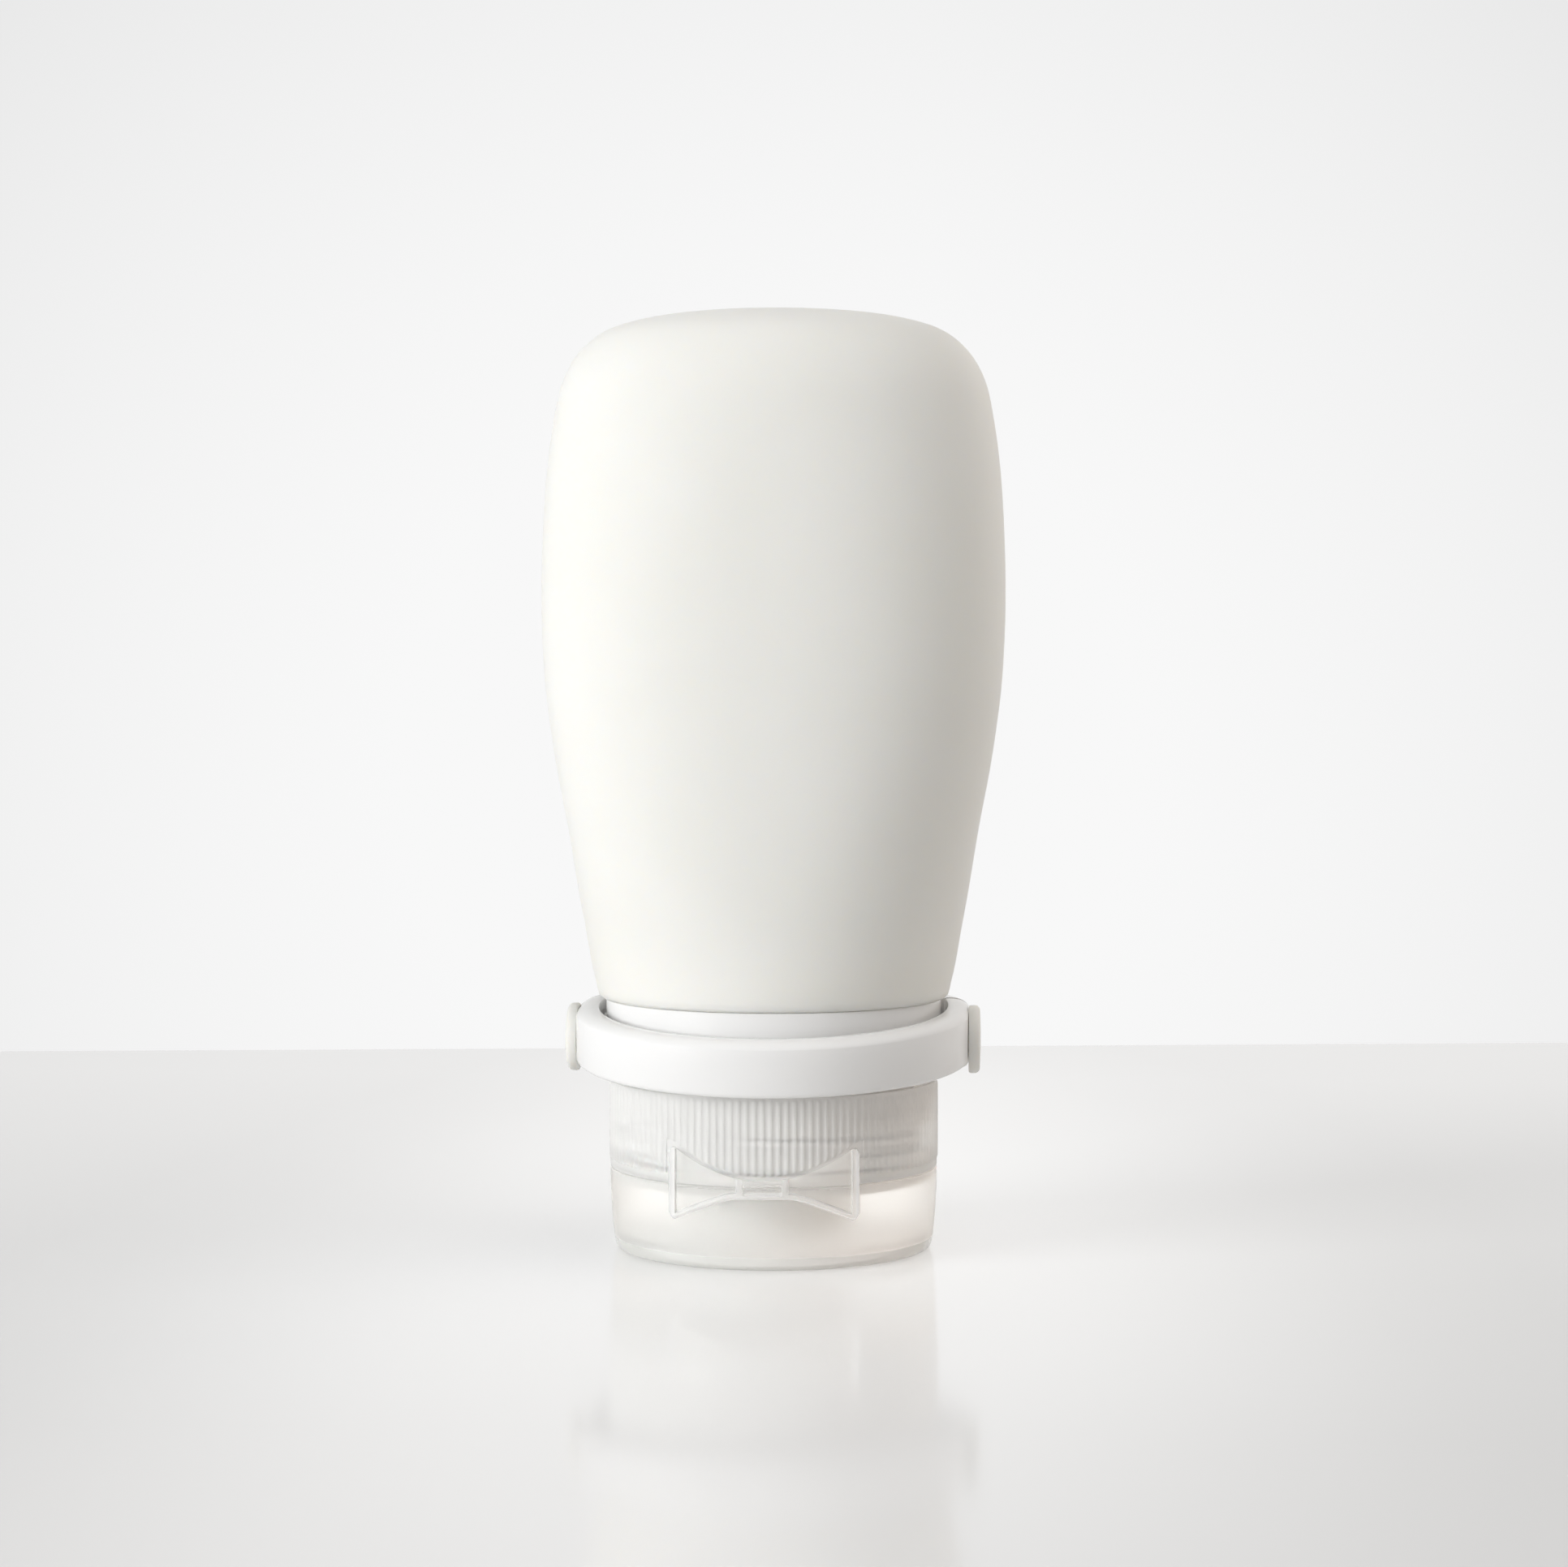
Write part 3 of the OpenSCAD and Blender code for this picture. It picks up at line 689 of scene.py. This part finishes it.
def tab_shell(rows=30):
    """Columns and rows follow the tab's side and lower edges, so that its rims run true."""
    sides = TAB_W - SIDE_COLS
    half = np.concatenate([np.linspace(0, sides[0], TAB_MIDDLE)[:-1], sides])
    xs = np.concatenate([-half[:0:-1], half])
    face, root = [], []
    for j in range(rows):
        for x in xs:
            lo, hi = tab_edges(x)
            if j < len(LOW_ROWS):
                z = lo + LOW_ROWS[j]
            else:
                share = (j - len(LOW_ROWS) + 1) / (rows - len(LOW_ROWS))
                z = lo + LOW_ROWS[-1] + (hi - lo - LOW_ROWS[-1]) * share
            rim = math.sin(min(1.0, from_rim(x, z) * 2.2) * math.pi / 2)
            r_face = TAB_R - 0.45 * (1 - rim) - scoop(x, z)
            r_root = CAP_R + 0.35 if z > RIM_Z - 0.05 else CAP_R - 0.35
            for layer, r in ((face, r_face), (root, r_root)):
                layer.append((x, -math.sqrt(max(0.1, r * r - x * x)), z))
    return np.array(face + root), slab_faces(rows, len(xs))


RIM_TOP = RIM_Z + 0.15
PLUG_R = SPOUT_R - 0.4
PLUG_IN = SPOUT_R - 1.4
lid_round = fillet(
    [(18.35, 0.0), (18.62, 1.55), (18.85, 4.0), (CAP_R, 7.6), (CAP_R, RIM_TOP),
     (LID_IN, RIM_TOP), (LID_IN, 7.6), (17.65, 3.0), (17.3, LID_PLATE),
     (PLUG_R, LID_PLATE), (PLUG_R - 0.02, NOZZLE_Z + 0.4), (PLUG_R - 0.2, NOZZLE_Z + 0.9),
     (PLUG_IN, NOZZLE_Z + 0.9), (PLUG_IN, LID_PLATE)],
    [1.35, 0.5, 1, 1, 0.18, 0.15, 1, 1, 0.9, 0.2, 0.1, 0.1, 0.1, 0.2], 5)


def lid_shell(seg=256):
    """The lid's section is closed across the axis by its two flat faces."""
    floor = [(0, 0.0), (8.0, 0.0), (15.0, 0.0)]
    return turned(floor + [tuple(p) for p in lid_round] + [(0, LID_PLATE)], seg)


def in_lid(x, y, z, r):
    return LID_PLATE + 0.9 < z < RIM_Z - 0.2 and 16.8 < r < LID_IN + 0.05


def on_plate(x, y, z, r):
    return abs(z - LID_PLATE) < 0.1 and r < 16.7


def on_low_edge(x, y, z, r):
    return z < LID_PLATE + 0.1 and r > 16.6


def on_tab(x, y, z, r):
    return y < 0 and r > CAP_R + 0.04


def on_rim(x, y, z, r):
    """The tab's rounded rim and the two bars beside its knot."""
    knot = TAB_FLAT - 1.05 < abs(x) < TAB_FLAT - 0.3
    return y < 0 and r >= CAP_R + 0.5 and (from_rim(x, z) < 0.97 or knot)


lid = dress(join("lid", lid_shell(), tab_shell(), sharp=38), lid_mat, "lid", "flip_lid")
more_slots(lid, (within_mat, in_lid), (plate_mat, on_plate), (edge_mat, on_low_edge),
           (tab_mat, on_tab), (rim_mat, on_rim))


# Film hinge
def film_shell(rows=13, cols=33):
    """A strip on the cap's back, thinnest at the parting line."""
    half_angle = 4.5 / CAP_R
    v = []
    for outer in (True, False):
        for z in np.linspace(STEP_Z + 0.25, SKIRT_Z + 0.78, rows):
            thick = 0.14 + 0.2 * min(1.0, abs(z - PARTING_Z) / 0.7) ** 2
            r = CAP_R + 0.04 + (thick if outer else 0)
            for k in range(cols):
                a = math.pi / 2 + half_angle * (1 - 2 * k / (cols - 1))
                v.append((r * math.cos(a), r * math.sin(a), z))
    return np.array(v), slab_faces(rows, cols)


film = join("film", film_shell())
film.data.materials.append(lid_mat)
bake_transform(film)
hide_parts("hinge_film")

# Inner pieces that keep their solids' shape
for name, mat in (("neck_insert", inner_mat), ("cap_gasket", seal_mat), ("drip_valve", seal_mat),
                  ("valve_retainer", inner_mat)):
    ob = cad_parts[name]
    ob.data.materials.clear()
    ob.data.materials.append(mat)

# Camera, in mm and in pixels of the photograph
IMAGE_W = 1932
SENSOR = 36
FOCAL = 4554.6
DIST = 430.0
CAM_Z = 72.8
AIM_X, AIM_Z = 1.2, 54.06
AZ = math.radians(3.7)
right = np.array([math.cos(AZ), math.sin(AZ), 0])
ahead = np.array([-math.sin(AZ), math.cos(AZ), 0])
up = np.array([0, 0, 1])

cam = bpy.data.cameras.new("view")
cam.sensor_width = SENSOR
cam.lens = FOCAL / IMAGE_W * SENSOR
cam.clip_start, cam.clip_end = 0.02, 20
cam_ob = bpy.data.objects.new("view", cam)
bpy.context.scene.collection.objects.link(cam_ob)
place = Vector(up * CAM_Z - ahead * DIST)
aim = Vector(right * AIM_X + up * AIM_Z)
cam_ob.location = place * MM
cam_ob.rotation_euler = (aim - place).to_track_quat("-Z", "Y").to_euler()
bpy.context.scene.camera = cam_ob
bpy.context.scene.view_settings.view_transform = "Standard"

# Table
EDGE_DROP = 525.0  # pixels from the horizon down to the table's far edge
TABLE_TURN = math.radians(2.57)
TABLE_HALF, TABLE_DEPTH, TABLE_THICK = 700, 1100, 12
TABLE_COLOR = (0.75, 0.75, 0.75)

edge_middle = ahead * (FOCAL * CAM_Z / EDGE_DROP - DIST)
along = right * math.cos(TABLE_TURN) + ahead * math.sin(TABLE_TURN)
toward = np.array([along[1], -along[0], 0])
far_left, far_right = edge_middle - along * TABLE_HALF, edge_middle + along * TABLE_HALF
top = [far_left, far_right, far_right + toward * TABLE_DEPTH, far_left + toward * TABLE_DEPTH]
table_top = make("table_top", top + [c - up * TABLE_THICK for c in top],
                 [(0, 3, 2, 1), (4, 5, 6, 7), (0, 1, 5, 4), (1, 2, 6, 5), (2, 3, 7, 6), (3, 0, 4, 7)])

# A painted pool of light in which the object stands, and painted light growing towards the far part
table_mat, tree, bsdf = principled("table", TABLE_COLOR, 0.11, Specular_IOR_Level=0.5)
here = node(tree, "TexCoord").outputs["Object"]
light_pool_gradient = tree.nodes.new("ShaderNodeTexGradient")
light_pool_gradient.gradient_type = "SPHERICAL"
feed(tree, light_pool_gradient.inputs["Vector"], node(
    tree, "Mapping", Vector=here, Location=(0.0, 0.12, 0.0), Scale=(11.0, 3.3, 1.0)).outputs["Vector"])
LIGHT_POOL_LEVELS = ((0, 0), (0.1, 0), (0.34, 0.05), (0.64, 0.16), (1, 0.15))  # from its rim to its middle
painted_pool_light = ramp(tree, light_pool_gradient.outputs["Fac"], *[(at, (level,) * 3) for at, level in LIGHT_POOL_LEVELS],
                  interpolation="B_SPLINE")
spot = node(tree, "SeparateXYZ", Vector=here)
painted_floor_light = calc(tree, "ADD", painted_pool_light, span(tree, spot.outputs["Y"], -0.1, 0.16, 0.12))

# Through the clear plastic the table shows painted light in place of its shade: pale, with a painted warm
# glow on the right, while its own lit colour is nearly cut away
ray = tree.nodes.new("ShaderNodeLightPath").outputs
painted_through_light = ramp(tree, span(tree, spot.outputs["X"], -0.01, 0.02),
            (0, (0.92, 0.92, 0.90)), (1, (0.90, 0.755, 0.665)))
passed = ray["Is Transmission Ray"]
feed(tree, bsdf.inputs["Emission Color"], mix_color(tree, passed, painted_floor_light, painted_through_light))
feed(tree, bsdf.inputs["Base Color"], mix_color(tree, passed, (*TABLE_COLOR, 1), (0.08, 0.08, 0.08, 1)))
feed(tree, bsdf.inputs["Emission Strength"], calc(
    tree, "MAXIMUM", calc(tree, "MAXIMUM", ray["Is Camera Ray"], passed), ray["Is Glossy Ray"]))
table_top.data.materials.append(table_mat)

# World
world = bpy.data.worlds.new("studio")
bpy.context.scene.world = world
world.use_nodes = True
tree = world.node_tree
tree.nodes.clear()
ray = tree.nodes.new("ShaderNodeLightPath").outputs
sky = node(tree, "TexCoord").outputs["Generated"]


def facing(direction):
    """1 where the sky lies in this direction, 0 at right angles to it."""
    new = tree.nodes.new("ShaderNodeVectorMath")
    new.operation = "DOT_PRODUCT"
    feed(tree, new.inputs[0], sky)
    new.inputs[1].default_value = Vector(direction).normalized()
    return new.outputs["Value"]


def backdrop(fac, low, high):
    color = ramp(tree, fac, (0, low), (1, high))
    return node(tree, "Background", Color=color).outputs[0]


def mix_shader(fac, a, b):
    new = tree.nodes.new("ShaderNodeMixShader")
    for socket, value in zip(new.inputs, (fac, a, b)):
        feed(tree, socket, value)
    return new.outputs[0]


# What camera and gloss see, the soft light with its warm side, and what shows through clear plastic
warm_side = facing(right + up * 0.05)
seen = backdrop(span(tree, facing(ahead - up * 0.035), 0.955, 0.995),
                (0.80, 0.80, 0.80), (0.938, 0.938, 0.938))
soft = backdrop(span(tree, warm_side, 0.5, 1.0), (0.235, 0.235, 0.233), (0.64, 0.54, 0.45))
through = backdrop(span(tree, warm_side, 0.0, 0.9), (0.96, 0.96, 0.94), (1.0, 0.86, 0.75))
direct = calc(tree, "MAXIMUM", ray["Is Camera Ray"], ray["Is Glossy Ray"])
sky_shader = mix_shader(ray["Is Transmission Ray"], mix_shader(direct, soft, seen), through)
node(tree, "OutputWorld", Surface=sky_shader)


# Lamps, in metres and watts
def lamp(name, where, at, width, height, power, color=(1, 1, 1)):
    data = bpy.data.lights.new(name, "AREA")
    data.shape = "RECTANGLE"
    data.size, data.size_y = width, height
    data.energy = power
    data.color = color
    ob = bpy.data.objects.new(name, data)
    bpy.context.scene.collection.objects.link(ob)
    ob.location = where
    ob.rotation_euler = (Vector(at) - Vector(where)).to_track_quat("-Z", "Y").to_euler()
    ob.visible_glossy = False


lamp("key", (-0.53, -0.39, 0.14), (0, 0, 0.05), 0.36, 0.42, 4.3)
lamp("top", (0.27, -0.10, 0.72), (0, 0, 0.09), 0.6, 0.6, 2.2)
lamp("back", (0.42, 0.48, 0.22), (0, 0, 0.05), 0.4, 0.4, 0.6, (1.0, 0.89, 0.78))
